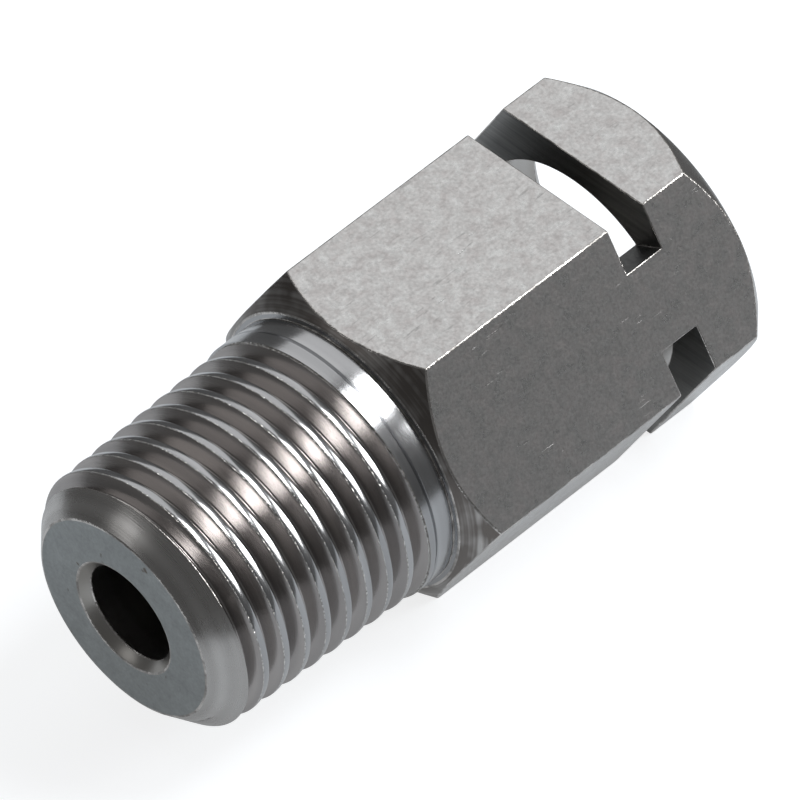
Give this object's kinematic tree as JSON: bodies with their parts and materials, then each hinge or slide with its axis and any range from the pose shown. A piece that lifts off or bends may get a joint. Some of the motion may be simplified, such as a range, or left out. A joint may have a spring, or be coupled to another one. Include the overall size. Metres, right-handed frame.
{
  "type": "clip-retained coupling body",
  "caption": "Steel coupling body: taper male thread, flow bore, spanner hexagon, and a wide end socket crossed by straight slots for a retaining clip.",
  "frame": {"origin": "centre of the socket's mouth, on the turning axis, in the plane of the hexagon's end face", "axes": "+X along the turning axis, out of the socket's mouth, with the threaded end at -X; +Z is the normal of the hexagon's upper flat, and the part lies on the opposite flat"},
  "size_m": [0.0237, 0.0128, 0.011],
  "materials": {
    "turned_steel": "bare stainless steel: satin drawn flats, polished turned thread and neck, fine turning marks on the chamfers and the end face"
  },
  "bodies": {
    "root": {"coupling_body": "turned_steel"}
  },
  "joints": []
}
